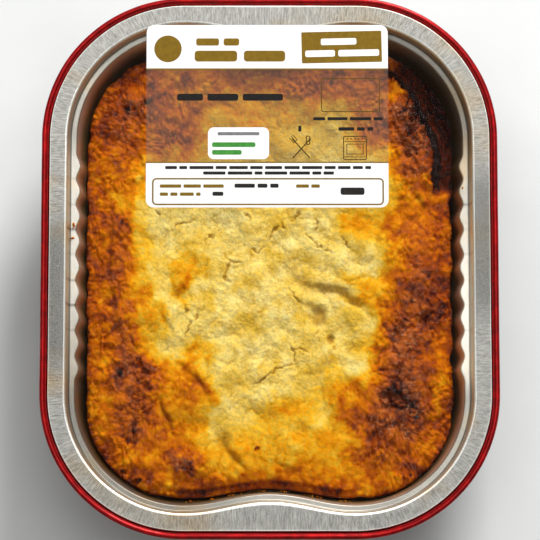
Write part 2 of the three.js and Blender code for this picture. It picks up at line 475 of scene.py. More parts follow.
def set_tray_attributes(tray, around, profile):
    """What the foil's material goes by: where each point lies on the section and round the
    tray, where the foil is without pressed lines and painted darker as shade, where the ledge's
    flutes get a painted highlight, where creases get painted shade, and the two corners with an
    oven tint and painted shade."""
    x, y, normal_x, _, _, flute = around
    steps = np.hypot(np.roll(x, -1) - x, np.roll(y, -1) - y)
    turn = 2 * math.pi * (np.cumsum(steps) - steps) / steps.sum()
    radius = steps.sum() / 2 / math.pi
    straight = np.abs(normal_x) > 0.999
    # The pressed lines fade out along the long sides, a little further forward on the left, and
    # there the flange is painted darker as shade.
    middle = np.where(x < 0, -8, 6)
    # The part of the ledge with flutes gets a painted highlight, stronger on the right.
    highlight_strength = np.where(x > 0, 1.9, 0.85)
    # Creases across the ledge at the troughs of the flutes, painted as lines of shade.
    before, after = np.roll(flute, 1), np.roll(flute, -1)
    trough = (np.abs(flute - 0.5) < 0.5) & (before >= flute) & (after > flute)
    crease = trough * rng.uniform(0, 1.2, len(x))
    crease = np.maximum(crease, 0.5 * np.maximum(np.roll(crease, 1), np.roll(crease, -1)))
    # The back right and front left corners, where the foil has an oven tint and the ledge and wall
    # get painted shade.
    corner = (x / FLANGE_HALF_X + y / FLANGE_HALF_Y) / 2
    for name, values in (
        ("round_x", radius * np.cos(turn)),
        ("round_y", radius * np.sin(turn)),
        ("smooth_shaded_side", straight * smoothstep(28, 12, np.abs(y - middle))),
        ("fluted_highlight", straight * smoothstep(36, 26, np.abs(y)) * highlight_strength),
        ("crease", crease),
        ("burnt_and_shade", smoothstep(0.42, 0.72, corner) + 0.9 * smoothstep(0.5, 0.75, -corner)),
    ):
        set_attribute(tray, name, np.concatenate([[0], np.tile(values, len(profile)), [0]]))
    insets, heights = np.repeat(np.array(profile), len(x), 0).T
    set_attribute(tray, "inset", np.concatenate([[FLANGE_HALF_X], insets, [0]]))
    set_attribute(tray, "height", np.concatenate([[0], heights, [0]]))


def build_tray():
    around = stations(long_steps=FLUTES * 24, corner_steps=46, short_steps=64)
    food_side, silver_rim, lacquered = tray_sections()
    profile = food_side + silver_rim + lacquered
    rings = [tray_ring(around, inset, z) for inset, z in profile]
    points = np.vstack([[[0, 0, FOIL]], *rings, [[0, 0, 0]]])
    tray = mesh_object("foil_tray", points, tube_faces(len(rings), around.shape[1]))
    set_tray_attributes(tray, around, profile)

    # The first faces of each station are bare foil, and the rest the lacquered outside.
    index = np.arange(len(tray.data.polygons)) % (len(rings) + 1)
    outside = index >= len(food_side) + len(silver_rim)
    tray.data.polygons.foreach_set("material_index", outside.astype(np.int32))
    tray.data.materials.append(foil_material())
    tray.data.materials.append(lacquer_material())
    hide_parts("tray")


def flange_level(m, inset, smooth_shaded_side, lines, grain):
    """How bright the flange's foil is: painted darker as shade on the smooth long sides, with a
    painted highlight on its two rounded edges.
    """
    level = m.blend(smooth_shaded_side, m.swing(lines, 0.85, 0.34), m.swing(grain, 0.28, 0.20))
    level = m.swing(grain, 0.10, level)
    # Painted highlights on the inner and the outer rounded edge.
    edge = m.spread(inset, FLANGE_INSET - 0.4, FLANGE_INSET - 0.15)
    outer = m.spread(inset, 0.26, 0.04)
    return m.scaled_sum(m.math("ADD", edge, outer), 0.6, level)


def ledge_level(m, height, clouds):
    """How bright the ledge is: a painted highlight where it has flutes and on the slope above it,
    and painted shade in a few creases and in the back right and front left corners."""
    level = m.scaled_sum(m.value("fluted_highlight"), 0.20, 0.40)
    level = m.scaled_sum(m.value("crease"), -0.32, level)
    level = m.swing(clouds, 0.25, level)
    level = m.times(level, m.scaled_sum(m.value("burnt_and_shade"), -0.40, 1.0))
    # A painted highlight on the slope above the ledge.
    slope = m.spread(height, LEDGE_Z + 0.2, LEDGE_Z + 0.9)
    return m.scaled_sum(slope, 0.30, level)


def wall_level(m, depth, clouds):
    """How bright the wall is: darker lower down, and painted shade in the back right and front
    left corners.
    """
    level = m.times(m.blend(depth, 0.66, 0.34), m.less(1.0, m.times(m.value("burnt_and_shade"), 0.6)))
    return m.swing(clouds, 0.12, level)


def foil_material():
    """Bare foil: dull with pressed lines across the flange, and brighter below it, with painted
    highlights on its rounded edges, ledge and slope, and painted shade on the flange's long sides,
    in creases and in two corners.
    """
    m = Material("bare_foil")
    inset = m.value("inset")
    height = m.value("height")
    smooth_shaded_side = m.value("smooth_shaded_side")
    across = m.add("CombineXYZ", {
        "X": m.value("round_x"), "Y": m.value("round_y"), "Z": m.times(inset, 0.2),
    })
    lines = m.noise(across, 2.6, 4, 0.75)
    place = m.place()
    grain = m.noise(place, 2200, 3, 0.75)
    clouds = m.noise(place, 70, 2, 0.5)
    depth = m.spread(height, LEDGE_Z - 1.0, PIE_TOP_Z - 1.0)
    on_wall = m.spread(height, LEDGE_Z - 0.1, LEDGE_Z - 0.6)
    off_flange = m.spread(inset, FLANGE_INSET + 0.15, FLANGE_INSET + 0.4)
    flange = flange_level(m, inset, smooth_shaded_side, lines, grain)
    below = m.blend(on_wall, ledge_level(m, height, clouds), wall_level(m, depth, clouds))
    level = m.blend(off_flange, flange, below)

    # A warm tint in places, as foil takes in an oven and most in two corners, and a brown tint
    # that grows lower down the wall.
    warm = m.spread(clouds, 0.60, 0.74, 0.0, 0.22)
    warm = m.scaled_sum(m.times(m.spread(clouds, 0.45, 0.6), m.value("burnt_and_shade")), 0.22, warm)
    warm = m.scaled_sum(off_flange, 0.08, warm)
    warm = m.scaled_sum(m.times(on_wall, depth), 0.6, warm)
    m["Base Color"] = m.add("CombineColor", {
        "Red": level,
        "Green": m.times(level, m.less(0.985, m.times(warm, 0.5))),
        "Blue": m.times(level, m.less(0.91, warm)),
    })
    m["Metallic"] = 1.0
    m["Roughness"] = m.scaled_sum(on_wall, 0.12, 0.42)
    m["Normal"] = m.bump(m.blend(smooth_shaded_side, lines, grain), 0.35, 0.0002)
    return m.material


def lacquer_material():
    """Deep red lacquer over foil, a little worn on the rolled rim."""
    m = Material("red_lacquer")
    wear = m.noise(m.place(), 420, 4, 0.6)
    colour = m.ramp(wear, [
        (0.32, srgb(122, 0, 2)), (0.52, srgb(154, 0, 4)), (0.70, srgb(186, 8, 8)),
    ])
    # Painted shade darkens the groove between the bare edge and the rolled rim.
    m["Base Color"] = m.shade(colour, m.spread(m.value("inset"), -0.42, -0.18, 1.0, 0.12))
    m["Metallic"] = 0.5
    m["Roughness"] = 0.34
    m["Specular IOR Level"] = 0.2
    m["Coat Weight"] = 0.12
    m["Normal"] = m.bump(wear, 0.2, 0.0002)
    return m.material


# ---------- the pie's top ----------

# Browning runs from 0, pale mash, over 0.3, golden, and 0.6, orange brown, to 1, charred.
# Each patch is (x, y, half width, half length, browning, strength), and a turn in degrees if
# it is turned. A later patch lies over an earlier one.
BROWN_PATCHES = [
    # left side
    (-45.5, 0, 4.0, 40, 0.58, 0.9), (-40, 8, 4.2, 26, 0.70, 0.9), (-43, 40, 7, 12, 0.62, 0.9),
    (-35, 44, 9, 9, 0.74, 0.9), (-25, 37, 9, 10, 0.74, 0.9), (2, 38, 15, 12, 0.24, 0.8),
    (-37, 26, 4, 5, 0.42, 0.7, 20), (-34.5, 20, 2.5, 6, 0.16, 0.8),
    (-33.5, -2, 1.6, 12, 0.34, 0.7), (-34, -7, 2.4, 4, 0.50, 0.8, 15),
    (-31.5, -12, 2, 3.5, 0.42, 0.8, 20), (-38, -16, 3.5, 7, 0.66, 0.8, 8),
    # front left
    (-36, -28, 8, 9, 0.78, 0.95), (-37, -41, 6, 7, 0.78, 0.8), (-23, -33, 7.5, 7.5, 0.60, 0.95),
    (-19.5, -30.5, 1.6, 5, 0.66, 0.8, 35), (-22, -43, 6, 4.5, 0.52, 0.9),
    (-18.5, -21, 4, 2.2, 0.46, 0.7), (-31, -46, 6, 6, 0.66, 0.8),
    (-45, -33, 2.5, 12, 0.48, 0.8, -8), (-42, -48, 4.0, 5, 0.50, 0.8, 30),
    (-23, -52.3, 6, 2.6, 0.86, 0.9, -12), (-14, -56.5, 8, 1.4, 0.66, 0.7),
    # front middle
    (5, -38, 8.5, 5, 0.42, 0.9), (-2, -51, 9, 5, 0.36, 0.9), (12, -47, 9, 5, 0.34, 0.9),
    (8, -55, 20, 2.4, 0.46, 0.8), (15, -27, 5, 4, 0.32, 0.7), (18, -33, 5, 4, 0.44, 0.8),
    (-10.5, -44, 3, 4, 0.26, 0.6, 25),
    # right side
    (45, -10, 4.5, 48, 0.68, 0.9), (38.5, -4, 7, 15, 0.72, 0.9), (36, -24, 6, 11, 0.82, 0.9),
    (34, -36, 7.0, 8, 0.90, 1.0), (27, -43, 8, 8, 0.70, 0.9), (21, -37, 4, 6, 0.54, 0.8),
    (27, -52, 8, 4, 0.64, 0.8), (43, -38, 4, 12, 0.66, 0.9, 8), (31, -17, 2.5, 5, 0.56, 0.7),
    (25, -19.5, 4, 3, 0.30, 0.7), (40, 14, 7, 8, 0.56, 0.9), (26, 13, 8, 6, 0.34, 0.9),
    (33, 6, 3.5, 8, 0.50, 0.7), (23, -2.8, 5, 1.6, 0.38, 0.9, -8), (38, 26, 5, 6, 0.66, 0.8),
    # back
    (39, 40, 9, 12, 0.92, 0.95, 12), (27, 46, 6, 9, 0.72, 0.85), (20, 53, 12, 4, 0.70, 0.9),
    (-8, 53, 18, 5, 0.62, 0.9), (0, 44, 18, 5, 0.40, 0.8), (-19, 47, 6, 4, 0.60, 0.7),
    (15, 36, 10, 5, 0.22, 0.6),
    # where one area runs into the next
    (-33, 50, 7, 8, 0.80, 0.7), (-25, 31, 4, 5, 0.50, 0.8), (-34, 25, 3, 5, 0.48, 0.8),
    (-40, 18, 2.2, 2.6, 0.34, 0.85), (-46, 30, 3, 9, 0.48, 0.8), (10, 51, 8, 5, 0.72, 0.8),
    (-7, 40, 6, 6, 0.46, 0.7), (0, 35, 5, 5, 0.28, 0.7), (28, 38, 6, 6, 0.68, 0.85),
    (23, 12, 4, 4, 0.42, 0.8), (-24, 1, 3, 3, 0.42, 0.8), (-30, -13, 2.5, 4, 0.46, 0.8),
    (26, -6, 3, 4, 0.46, 0.8), (31, -12, 3, 7, 0.64, 0.85), (40, -13, 6, 11, 0.77, 0.8),
    (-20, -24, 3, 3, 0.50, 0.85), (30, -24, 3, 5, 0.66, 0.8), (-15, -36, 2.5, 3, 0.44, 0.85),
    (-31, -38, 4, 5, 0.76, 0.7), (-38, -32, 4, 6, 0.80, 0.7), (38, -38, 5, 11, 0.81, 0.8),
    (32, -48, 8, 4, 0.72, 0.7), (35.5, -19, 3.5, 8, 0.84, 0.7, -8), (36, -30, 4, 7, 0.82, 0.6),
    (31.5, -39, 6.5, 5.5, 0.84, 0.8), (46, -27, 2.4, 9, 0.50, 0.8), (45.5, -42, 2.2, 5, 0.52, 0.7),
    (24, -35, 3, 5, 0.62, 0.8), (-41, -51, 5, 6, 0.62, 0.8), (-30, -55, 4, 3, 0.66, 0.7),
    (-9, -53, 7, 3, 0.34, 0.8), (37, -55, 6, 4, 0.66, 0.8), (-36, -57, 6, 3, 0.58, 0.8),
    (-42, 38, 6, 8, 0.78, 0.6), (-41.5, 24, 4, 4, 0.65, 0.6), (38, 10, 5.5, 5, 0.68, 0.75),
    # small spots in the pale middle
    (-23.6, -3.8, 2.4, 3.0, 0.48, 1.0), (-22.3, -8.5, 1.6, 3.0, 0.36, 0.8, 12),
    (-19.5, 1.5, 3.2, 3.0, 0.40, 0.8), (-14, -15, 3, 1.6, 0.26, 0.6, 30),
    (8, -13, 3.5, 1.6, 0.22, 0.7, 20),
]

# Dark dots: (x, y, radius, browning).
DARK_DOTS = [
    (-42, 30, 0.9, 0.9), (-41, 13, 0.9, 0.88), (-43, 6, 0.9, 0.88), (-42, -8, 1.0, 0.9),
    (-41, -15, 1.2, 0.88), (-40, -28, 1.6, 0.92), (-35, -24, 1.2, 0.9), (-33, -31, 1.2, 0.9),
    (-36, -42, 1.2, 0.98), (-35, -44, 1.0, 0.96), (-37, -46, 0.9, 0.95), (-32, 46, 1.8, 0.95),
    (-38, 43, 1.6, 0.88), (-23.3, 51.5, 1.5, 0.95), (-3.6, -47.7, 0.4, 1.0), (40, 2, 1.0, 0.92),
    (45, -2.5, 1.2, 0.97), (42.5, -1, 0.9, 0.9), (38, -9, 1.1, 0.9), (37, -17, 1.2, 0.9),
    (30, -28, 1.4, 0.90), (33, -34.3, 1.6, 0.92), (32, -37, 1.2, 0.92), (38, -40, 1.6, 0.94),
    (36, 40, 1.4, 0.96), (39, 33, 1.4, 0.95), (38.3, 44.8, 0.8, 1.0), (36.5, 25.4, 1.0, 0.85),
    (43, 17.5, 0.9, 0.9), (17, 52, 1.2, 0.9), (22.5, 51, 1.2, 0.88), (22.6, -42.8, 0.8, 0.9),
    (17.4, -21.3, 0.3, 0.8), (-23.4, -51.2, 2.2, 0.97), (-20.6, -52.6, 1.5, 0.92),
    # The first two dots on the next line, above 1, paint shade into the deep hollows at the front
    # left.
    (-38.9, -54.6, 0.7, 1.3), (-36, -56.2, 0.6, 1.3), (35.2, -57.2, 0.6, 1.2),
    (37.4, -56.2, 0.5, 1.2),
]

# Folds, where the mash to the left of the path stands higher: (path, step, groove, width).
FOLDS = [
    ([(5.5, 0.5), (8.5, -2.8), (12, -4.4), (16, -4.8), (19.5, -5.3), (22, -7.6), (24.8, -10)],
     1.2, 0.6, 2.4),
    ([(8, -8), (10.5, -9.5), (12.5, -10.3), (15.5, -11)], 0.6, 0.35, 1.2),
    ([(-29.5, -11), (-27.5, -14.5), (-25.3, -18.3)], 0.4, 0.4, 0.8),
    ([(-29.5, -34), (-28.5, -38), (-26.8, -41), (-25.6, -45)], 0.5, 0.7, 0.8),
    ([(-24.5, -25), (-21, -28), (-18, -31), (-16.3, -34.5)], 0.8, 0.6, 0.9),
    ([(-43.2, 24), (-42.6, 12), (-43, 4), (-42.2, -6), (-42, -16)], 0.3, 0.5, 0.7),
    ([(29, -34.6), (32.5, -33.8), (36.5, -35.4)], 0.7, 0.8, 0.8),
    ([(35, -41), (34, -45), (31.5, -49)], 0.4, 0.6, 0.8),
    ([(33, 43), (35, 37), (38.5, 31), (42, 27)], 0.4, 0.7, 0.9),
    ([(37, 24), (40, 20), (42.6, 16.5)], 0.5, 0.6, 0.9),
    ([(-38, 35), (-35, 31), (-33.5, 26)], 0.4, 0.4, 0.8),
    ([(-13, -46), (-10, -50), (-6, -54)], 0.5, 0.5, 0.8),
    ([(-6, -50), (3, -52.5), (10, -55.5)], 0.3, 0.3, 1.0),
    ([(-27.5, 12), (-28.3, 6), (-27.5, 0)], 0.3, 0.25, 1.3),
]

# Swellings, and troughs with a negative rise: (x, y, half width, half length, rise), and a turn
# in degrees if it is turned.
MOUNDS = [
    (-39.5, 8, 4.5, 19, 0.8), (-37, -12, 3.5, 8, 0.7, 12), (-36, -30, 7, 10, 0.8, 10),
    (-23.5, -33.5, 6.5, 7, 1.3, 20), (-23, -52, 6.5, 3, 0.9, -12), (-33, -1, 2.5, 6, 0.5, 10),
    (35, -30, 6, 15, 0.9, -10), (40, 0, 6, 15, 0.6, 4), (27, -44, 7, 6, 0.6), (5, -40, 9, 7, 0.5),
    (-34, 44, 8, 8, 0.7), (-18, -14, 6, 5, 0.7, 30), (0, 12, 8, 5, 0.5, 20),
    (15, 4, 8, 4, 0.6, -20), (-2, -12, 6, 5, 0.5), (28, 8, 5, 9, 0.4), (9, -30, 7, 4, 0.5, 20),
    (22.5, -8.6, 4.2, 1.2, -1.1, -33), (15.5, -5.2, 4.5, 1.1, -0.7, -12),
    (-13.5, -45, 1.6, 4, -0.7, -25),
]

# Small hollows and humps: (x, y, half width, half length, depth, power of the falling off).
HOLLOWS = [
    (13.2, -12.6, 2.2, 2.9, 0.9, 4), (16.3, -18.8, 1.1, 1.3, 1.0, 4),
    (17.4, -21.3, 0.3, 0.3, 0.6, 2), (-38.8, -54.4, 0.8, 0.6, 1.6, 4),
    (-36, -57, 1.3, 0.6, 1.8, 4), (-12, -45.5, 2.6, 3.0, 0.8, 2), (19.6, -6.3, 2.8, 1.3, 0.4, 2),
    (23.2, -8.8, 2.6, 1.5, 0.55, 2), (36.5, 25.4, 1.2, 1.0, 0.8, 2),
    (-5.5, -22.5, 2.2, 2.0, 0.4, 2),
]
HUMPS = [
    (-23.6, -3.6, 2.1, 2.3, 1.1, 3), (42, -17, 1.9, 1.6, 0.9, 3), (-20.5, -31, 4.5, 5.0, 0.7, 2),
    (-14, -8, 5, 6, 0.5, 2),
]

# Fine cracks in the pale crust: paths.
CRACKS = [
    [(-4.6, -31.1), (-2.2, -29.7), (0.5, -27.7), (3, -26.2), (6.8, -25.5)],
    [(6.3, -24.6), (6.6, -22.6), (5.3, -20)],
    [(6, -21.5), (8, -21.2), (10.6, -22)],
    [(9.5, 10), (11, 9), (12.6, 7.2), (14.5, 5.8), (16.8, 4.8)],
    [(12.2, 14), (13.2, 13.2), (12.5, 12), (12.3, 10.7)],
    [(7.9, 16.5), (7.4, 14.8), (5.4, 13.1)],
    [(3, 13), (3.6, 12), (4.2, 11.4)],
    [(-26.8, 11), (-24.8, 12.8), (-22.8, 13.1), (-20.7, 13.7)],
    [(-31.2, 16.6), (-30.3, 15.8), (-29.3, 15.1)],
    [(-17.4, 7), (-17, 9.4), (-15.6, 9.7), (-15.3, 10.8)],
    [(-12.6, 4.9), (-10.8, 3), (-9.8, 2.4), (-7.8, 2.3)],
    [(-10.8, 3), (-11.3, 0.6), (-12.2, -1.6), (-10.8, -3.6)],
    [(-5.2, 3.5), (-4.7, 6), (-3.2, 5.2), (-2, 6.4)],
    [(0, 8), (1, 10.6), (2.4, 12.2)],
    [(5.2, -5), (6.6, -7), (8, -9.1)],
    [(-22.3, -9.5), (-22.4, -11.5)],
    [(-21, -13.6), (-21.9, -15.6), (-22.8, -18.2)],
    [(-20.5, -12.9), (-18.6, -12.4)],
    [(19, 9.3), (20.3, 8), (21.4, 6)],
    [(12.9, -16), (12.3, -18)],
    [(-7, 16), (-5.6, 14.6), (-4.8, 13.3)],
]

# The charred edge at the back right: its path, towards the front.
CHARRED_EDGE = [(31, 56.5), (34, 53.3), (37, 50.6), (39.4, 47.5), (41, 43.5), (43, 39.3),
                (44.9, 35), (45.3, 30), (44.9, 25), (45.3, 20)]


def smooth_path(points, steps=8):
    """A Catmull-Rom curve through the points."""
    spots = [points[0]] + list(points) + [points[-1]]
    spots = np.array(spots, float)
    out = []
    for i in range(1, len(spots) - 2):
        a, b, c, d = spots[i - 1:i + 3]
        for t in np.linspace(0, 1, steps, endpoint=False):
            out.append(0.5 * (2 * b + (c - a) * t + (2 * a - 5 * b + 4 * c - d) * t ** 2
                              + (3 * b - a - 3 * c + d) * t ** 3))
    return np.array(out + [spots[-2]])


def path_distance(x, y, path, reach):
    """Where the points are within reach of a path: their indices, distance, side and share
    along the path. The side is positive to the left of the path's direction."""
    low, high = path.min(0) - reach, path.max(0) + reach
    inside = np.nonzero((x > low[0]) & (x < high[0]) & (y > low[1]) & (y < high[1]))[0]
    px, py = x[inside], y[inside]
    best = np.full(px.shape, 1e9)
    side = np.zeros(px.shape)
    share = np.zeros(px.shape)
    for i, (a, b) in enumerate(zip(path, path[1:])):
        direction = b - a
        length = max(np.hypot(*direction), 1e-9)
        t = np.clip(((px - a[0]) * direction[0] + (py - a[1]) * direction[1]) / length ** 2, 0, 1)
        dx, dy = px - a[0] - t * direction[0], py - a[1] - t * direction[1]
        distance = np.hypot(dx, dy)
        closer = distance < best
        best[closer] = distance[closer]
        side[closer] = np.sign(direction[0] * dy - direction[1] * dx)[closer]
        share[closer] = ((i + t) / (len(path) - 1))[closer]
    keep = best < reach
    return inside[keep], best[keep], side[keep], share[keep]


def outline_distance(x, y, outline):
    """Distance from each point to a closed outline."""
    best = np.full(x.shape, 1e9)
    for px, py in outline[::3, :2]:
        best = np.minimum(best, (x - px) ** 2 + (y - py) ** 2)
    return np.sqrt(best)


def front_side(x, y):
    """Where the pie has settled lower at the middle of its front, and its brown side shows."""
    return smoothstep(-53, -57, y) * smoothstep(27, 20, np.abs(x + 2))


def browning(x, y, edge):
    """How brown the top is at each point."""
    wx, wy = warped(x, y, 1.8, 7, 4, 11, 0.6)
    rim = edge + 2.5 * layered_noise(x, y, 13, 2, 19)
    brown = 0.10 + 0.30 * smoothstep(21, 9, rim) + 0.14 * smoothstep(7, 1, rim)
    brown += 0.08 * layered_noise(x, y, 9, 3, 23)
    for px, py, half_x, half_y, level, strength, *turn in BROWN_PATCHES:
        u, v = oval(wx, wy, px, py, half_x, half_y, *turn)
        brown += (level - brown) * strength * np.exp(-(u * u + v * v) ** 1.4)
    for px, py, radius, level in DARK_DOTS:
        distance = np.hypot(wx - px, wy - py)
        brown += 0.8 * (level - brown) * np.exp(-(distance / radius) ** 2)
    brown += 0.16 * np.clip(brown - 0.62, 0, 0.3)
    # Browner towards the edge, and darker still in the last millimetres by the wall, where it is
    # painted shade as well as browning.
    brown += 0.06 * smoothstep(7, 3, edge) + 0.12 * smoothstep(1.8, 0, edge)
    front = front_side(x, y)
    brown += 0.9 * front * smoothstep(2.1, 1.4, edge) * (0.72 - brown)
    return brown + 0.2 * front * np.exp(-((edge - 1.9) / 0.4) ** 2)


def pie_outline(around):
    """The pie's edge: the tray's wall with a gap, uneven where the mash has shrunk."""
    points = ring(around, wall_inset(PIE_EDGE_Z) + PIE_SIDE_GAP, PIE_EDGE_Z, flutes=0)
    shrink = 0.1 + 0.8 * layered_noise(points[:, 0], points[:, 1], 6, 3, 31)
    shrink = np.clip(shrink, -0.2, 1.4) * (1 - 0.9 * front_side(points[:, 0], points[:, 1]))
    corner = smoothstep(-36, -46, points[:, 1]) * smoothstep(24, 34, abs(points[:, 0]))
    shrink -= corner * (0.5 + shrink)
    points[:, 0] -= around[2] * shrink
    points[:, 1] -= around[3] * shrink
    return points


def lumps(x, y, size, seed):
    """Rounded lumps about a size across with creases between them: from 0 in a crease to 1."""
    c, s = math.cos(seed), math.sin(seed)
    u, v = c * x + s * y, c * y - s * x
    u, v = (u + 0.8 * size * layered_noise(u, v, size * 1.4, 2, seed + 1, 0.35),
            v + 0.8 * size * layered_noise(u + 9, v, size * 1.4, 2, seed + 5, 0.35))
    near, second, own = cells(u, v, size, seed)
    dome = np.clip(1 - (near / size / 0.95) ** 2, 0, 1)
    return dome * (0.55 + 0.45 * own) * (0.5 + 0.5 * smoothstep(0, 0.25, (second - near) / size))


def billows(x, y, size, layers, seed, gain=0.5):
    """Swellings with narrow creases between them, and finer ones on top, about 0."""
    total = np.zeros_like(x)
    strength = 1.0
    for layer in range(layers):
        c, s = math.cos(2.1 * layer + seed), math.sin(2.1 * layer + seed)
        swell = lattice_noise((c * x + s * y) / size, (c * y - s * x) / size, seed + layer)
        total += strength * (2.2 * np.sqrt(swell * swell + 0.004) - 0.5)
        size /= 2.1
        strength *= gain
    return total


def dent(x, y, px, py, half_x, half_y, depth, power):
    """A round hollow or hump, which is steep at its edge if the power is high."""
    return depth * np.exp(-np.hypot((x - px) / half_x, (y - py) / half_y) ** power)


def lumpy_relief(x, y, edge, brown):
    """The lumps of the top, how deep each point lies between them, kept for painted shade, and how
    it stands out from what is round it, from -1 to 1."""
    crust = smoothstep(0.25, 0.6, brown)
    band = 0.9 * np.exp(-((edge - 9) / 6.5) ** 2)
    band = band - 1.5 * front_side(x, y) * smoothstep(2.5, 1.4, edge)
    height = band + 1.1 * layered_noise(x, y, 13, 2, 61)

    # The pale mash swells in soft clumps, and the crust is lumpy down to grains.
    bx, by = warped(x, y, 1.3, 5, 3, 141)
    clumps = billows(bx, by, 7.5, 1, 151)
    knobs = billows(bx, by, 3.4, 3, 161, 0.55)
    large = lumps(x, y, 8.5, 201) - 0.45
    medium = lumps(x, y, 3.6, 211) - 0.45
    small = lumps(x, y, 1.9, 221) - 0.45
    rough = smoothstep(-0.2, 0.6, layered_noise(x, y, 9, 2, 241))
    detail = 0.35 * large + crust * (0.7 * medium + 0.5 * small) + (1 - crust) * 0.5 * knobs
    height += 0.38 * large + 0.42 * clumps + (0.05 + 0.12 * rough) * knobs
    rugged = 0.35 + 0.4 * smoothstep(0.50, 0.72, brown) + 0.5 * rough
    height += crust * rugged * (0.85 * medium + 0.55 * small)
    wrinkles = billows(0.9 * bx + 0.25 * by, 0.4 * by - 0.1 * bx, 1.7, 3, 171, 0.6)
    height += crust * rugged * 0.60 * wrinkles
    # Depth between the pale clumps, kept for painted shade.
    sunk_shade = np.maximum(0, (1 - crust) * 0.45 * smoothstep(-0.25, -0.6, clumps + 0.6 * knobs))
    return height, sunk_shade, detail


def press_folds(x, y, height, sunk_shade):
    """Steps in the height along the folds, each with a groove at its foot whose depth is kept for
    painted shade.
    """
    for path, step, groove, width in FOLDS:
        at, distance, side, share = path_distance(x, y, smooth_path(path), 5)
        fade = np.sin(math.pi * np.clip(share, 0.02, 0.98)) ** 0.5
        rise = np.tanh(side * distance / (0.4 * width))
        height[at] += 0.5 * fade * step * rise * np.exp(-(distance / 2.8) ** 2)
        dip = fade * groove * np.exp(-(distance / width) ** 2)
        height[at] -= dip
        sunk_shade[at] = np.maximum(sunk_shade[at], dip)


def press_cracks(x, y, height, sunk_shade):
    """Narrow cracks with slightly raised lips, whose depth is kept for painted shade."""
    for path in CRACKS:
        at, distance, _, share = path_distance(x, y, smooth_path(path, 4), 1.2)
        fade = np.sin(math.pi * np.clip(share, 0.05, 0.95)) ** 0.4
        dip = fade * np.exp(-(distance / 0.28) ** 2)
        height[at] -= 0.5 * dip
        height[at] += 0.15 * fade * np.exp(-((distance - 0.6) / 0.4) ** 2)
        sunk_shade[at] = np.maximum(sunk_shade[at], dip)


def mash_relief(x, y, edge, brown):
    """The top's height over its mean level, how deep each point lies in a hollow, kept for painted
    shade, and how it stands out.
    """
    height, sunk_shade, detail = lumpy_relief(x, y, edge, brown)
    wx, wy = warped(x, y, 0.35, 1.8, 2, 71)
    press_folds(wx, wy, height, sunk_shade)
    jx, jy = warped(x, y, 0.5, 1.3, 1, 79)
    press_cracks(jx + wx - x, jy + wy - y, height, sunk_shade)

    hollow = sum(dent(wx, wy, *row) for row in HOLLOWS)
    height -= hollow
    sunk_shade = np.maximum(sunk_shade, np.clip(hollow, 0, 1) * 0.8)
    height += sum(dent(wx, wy, *row) for row in HUMPS)
    for px, py, half_x, half_y, rise, *turn in MOUNDS:
        u, v = oval(wx, wy, px, py, half_x, half_y, *turn)
        swell = np.exp(-(u * u + v * v) ** 1.5)
        height += rise * swell
        sunk_shade = np.maximum(sunk_shade, -0.4 * rise * swell)
    return height, sunk_shade, detail


def pie_grid(outline):
    """A square grid from -1 to 1, blown up so that its border is the outline: the grid's
    indices, its border's indices anticlockwise, and x and y."""
    closed = np.vstack([outline, outline[:1]])
    angle = np.unwrap(np.arctan2(closed[:, 1], closed[:, 0]))
    radius = np.hypot(closed[:, 0], closed[:, 1])
    line = np.arange(-PIE_GRID_HALF, PIE_GRID_HALF + 1)
    gx, gy = np.meshgrid(line, line)
    square = np.maximum(abs(gx), abs(gy)) / PIE_GRID_HALF
    turn = np.arctan2(gy * FLANGE_HALF_Y, gx * FLANGE_HALF_X)
    reach = square * np.interp(turn, angle, radius, period=2 * math.pi)
    index = np.arange(line.size ** 2).reshape(line.size, line.size)
    border = np.concatenate([index[0, :-1], index[:-1, -1], index[-1, :0:-1], index[:0:-1, 0]])
    return index, border, (reach * np.cos(turn)).ravel(), (reach * np.sin(turn)).ravel()


def char_edge(x, y, brown, relief):
    """The charred edge stands up, and the pie falls away from it, with painted shade on the slope
    beyond.
    """
    path = smooth_path(CHARRED_EDGE)
    at, distance, side, along = path_distance(x, y, path, 13)
    fade = smoothstep(0, 0.12, along) * smoothstep(1.0, 0.9, along)
    relief[at] += 1.3 * fade * np.exp(-(distance / 0.8) ** 4)
    outer = side > 0
    # Painted shade on the slope beyond the ridge, towards the wall.
    darker = fade * (0.88 + 0.02 * distance - brown[at]) * 0.95 * smoothstep(0.2, 1.2, distance)
    brown[at] += np.where(outer, darker, 0)
    relief[at] -= np.where(outer, fade * 1.5 * np.clip(distance, 0, 5), 0)
    width = 0.95 + 0.45 * along + 0.6 * layered_noise(x[at], y[at], 2.0, 2, 5)
    char = 1 - smoothstep(0.6, 1.0, distance / width)
    brown[at] += fade * char * (1.2 - brown[at])


def pie_top_z(edge, relief):
    """The top's height: rounded down to the edge, and pressed flat near the highest level."""
    shoulder = 1 - (1 - np.clip(edge / SHOULDER_WIDTH, 0, 1)) ** SHOULDER_POWER
    top = PIE_TOP_Z - 0.5 + relief
    flat = PIE_HIGHEST_Z - PIE_FLATTENED
    pressed = flat + PIE_FLATTENED * np.tanh((top - flat) / PIE_FLATTENED)
    top = np.where(top > flat, pressed, top)
    return PIE_EDGE_Z + (top - PIE_EDGE_Z) * shoulder ** (1 / SHOULDER_POWER)


